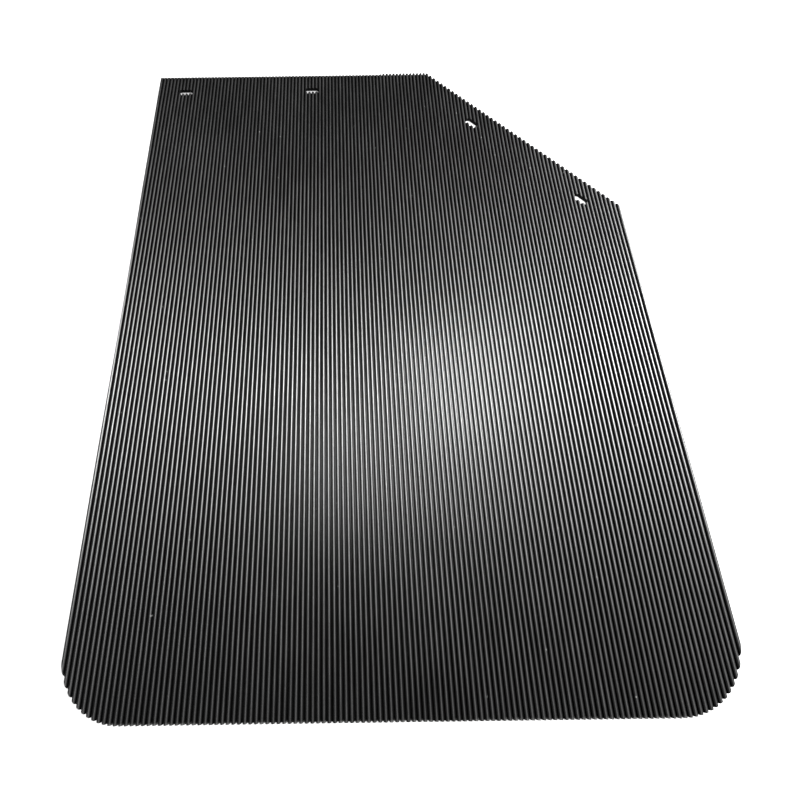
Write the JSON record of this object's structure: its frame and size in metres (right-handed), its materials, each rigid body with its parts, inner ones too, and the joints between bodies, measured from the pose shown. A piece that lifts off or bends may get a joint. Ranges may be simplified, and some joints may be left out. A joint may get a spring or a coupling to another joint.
{
  "type": "mud flap",
  "caption": "Flat ribbed rubber mud flap with one top corner cut off at about 45 degrees, rounded lower corners and bolt slots along its top edge and the cut.",
  "frame": {"origin": "on the smooth back, under the middle of the sheet's bounding box", "axes": "+Z out of the ribbed face, +Y along the ribs towards the bolted top edge, +X across the ribs towards the cut corner"},
  "size_m": [0.6096, 0.762, 0.0048],
  "materials": {
    "rubber": "semi-gloss black, moulded ribs, with a plain matt back"
  },
  "bodies": {
    "root": {"ribbed_sheet": "rubber"}
  },
  "joints": []
}
